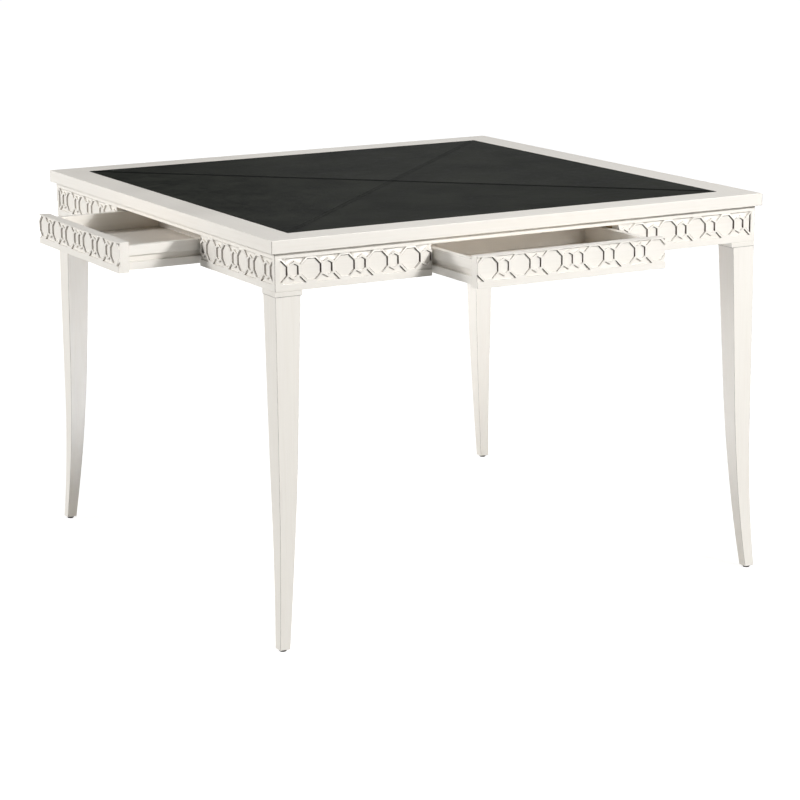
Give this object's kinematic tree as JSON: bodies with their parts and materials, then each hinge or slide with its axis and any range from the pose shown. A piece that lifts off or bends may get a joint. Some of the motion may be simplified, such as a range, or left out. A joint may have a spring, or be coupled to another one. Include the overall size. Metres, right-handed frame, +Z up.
{
  "type": "games table",
  "caption": "Square games table with a leather playing top in a mitred rim, a carved fretwork apron, a drawer in each side and tapered sabre legs that sweep outwards.",
  "frame": {"origin": "on the floor under the middle of the table top", "axes": "+Z up out of the playing top, -Y towards the front drawer, -X towards the left drawer"},
  "size_m": [1.221, 1.217, 0.7626],
  "materials": {
    "white_lacquer": "satin lacquer",
    "core_board": "raw board",
    "black_leather": "fine grain",
    "waxed_maple": "waxed",
    "plain_birch": "planed",
    "zinc_steel": "zinc plated",
    "glide_nylon": "moulded"
  },
  "bodies": {
    "table": {"top_core": "core_board", "rim_front": "white_lacquer", "leather_front": "black_leather", "top_rail_front": "white_lacquer", "apron_front_right": "white_lacquer", "apron_front_left": "white_lacquer", "runners_front": "waxed_maple", "rim_right": "white_lacquer", "leather_right": "black_leather", "top_rail_right": "white_lacquer", "apron_right_right": "white_lacquer", "apron_right_left": "white_lacquer", "runners_right": "waxed_maple", "rim_back": "white_lacquer", "leather_back": "black_leather", "top_rail_back": "white_lacquer", "apron_back_right": "white_lacquer", "apron_back_left": "white_lacquer", "runners_back": "waxed_maple", "rim_left": "white_lacquer", "leather_left": "black_leather", "top_rail_left": "white_lacquer", "apron_left_right": "white_lacquer", "apron_left_left": "white_lacquer", "runners_left": "waxed_maple", "leg_front_left": "white_lacquer", "leg_front_right": "white_lacquer", "leg_back_right": "white_lacquer", "leg_back_left": "white_lacquer", "guides_left": "plain_birch", "guides_right": "plain_birch", "bearer_right": "plain_birch", "bearer_left": "plain_birch", "corner_blocks": "plain_birch", "hanger_bolts": "zinc_steel", "leg_nuts": "zinc_steel", "top_screws": "zinc_steel", "foot_glides": "glide_nylon"},
    "front_drawer": {"front_drawer_front": "white_lacquer", "front_drawer_right_side": "white_lacquer", "front_drawer_left_side": "white_lacquer", "front_drawer_back": "white_lacquer", "front_drawer_bottom": "white_lacquer"},
    "right_drawer": {"right_drawer_front": "white_lacquer", "right_drawer_right_side": "white_lacquer", "right_drawer_left_side": "white_lacquer", "right_drawer_back": "white_lacquer", "right_drawer_bottom": "white_lacquer"},
    "back_drawer": {"back_drawer_front": "white_lacquer", "back_drawer_right_side": "white_lacquer", "back_drawer_left_side": "white_lacquer", "back_drawer_back": "white_lacquer", "back_drawer_bottom": "white_lacquer"},
    "left_drawer": {"left_drawer_front": "white_lacquer", "left_drawer_right_side": "white_lacquer", "left_drawer_left_side": "white_lacquer", "left_drawer_back": "white_lacquer", "left_drawer_bottom": "white_lacquer"}
  },
  "joints": [
    {"name": "front_drawer_slide", "type": "slide", "parent": "table", "child": "front_drawer", "axis": [0, -1, 0], "range_m": [-0.16, 0.069]},
    {"name": "right_drawer_slide", "type": "slide", "parent": "table", "child": "right_drawer", "axis": [1, 0, 0], "range_m": [0, 0.229]},
    {"name": "back_drawer_slide", "type": "slide", "parent": "table", "child": "back_drawer", "axis": [0, 1, 0], "range_m": [0, 0.229]},
    {"name": "left_drawer_slide", "type": "slide", "parent": "table", "child": "left_drawer", "axis": [-1, 0, 0], "range_m": [-0.164, 0.065]}
  ]
}
